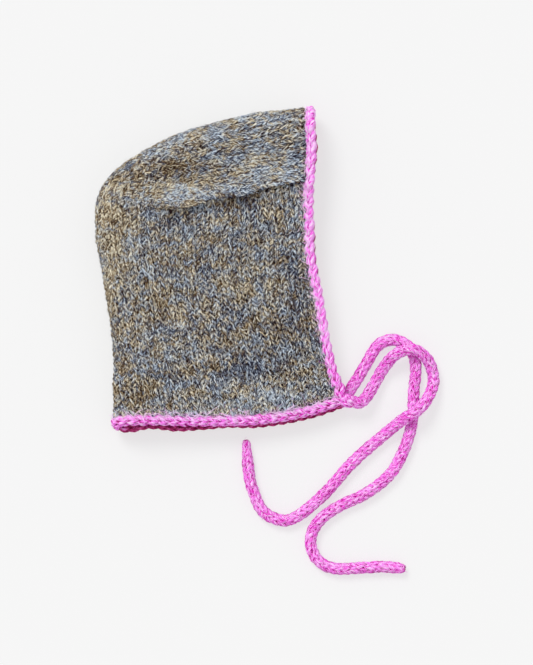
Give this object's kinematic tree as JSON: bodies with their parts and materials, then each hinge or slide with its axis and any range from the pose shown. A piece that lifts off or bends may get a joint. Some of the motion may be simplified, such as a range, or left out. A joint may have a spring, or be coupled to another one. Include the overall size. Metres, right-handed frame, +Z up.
{
  "type": "baby bonnet",
  "caption": "Hand-knitted baby bonnet with a contrasting knitted-cord edging and two free ties, laid on its side and folded flat.",
  "frame": {"origin": "on the surface that the bonnet lies on, under the middle of the bonnet's box without its ties", "axes": "+X from the back of the head to the face opening, +Y from the neck to the crown, +Z up from the surface through the two folded layers"},
  "size_m": [0.1718, 0.2345, 0.0244],
  "materials": {
    "heather_wool": "hand-knitted stocking stitch in fuzzy heather wool",
    "pink_wool": "hand-knitted cord in fuzzy orchid-pink wool"
  },
  "bodies": {
    "root": {"side_back_wrap": "heather_wool", "crown_band": "heather_wool", "face_edging": "pink_wool", "neck_edging": "pink_wool", "tie_near": "pink_wool", "tie_far": "pink_wool"}
  },
  "joints": []
}
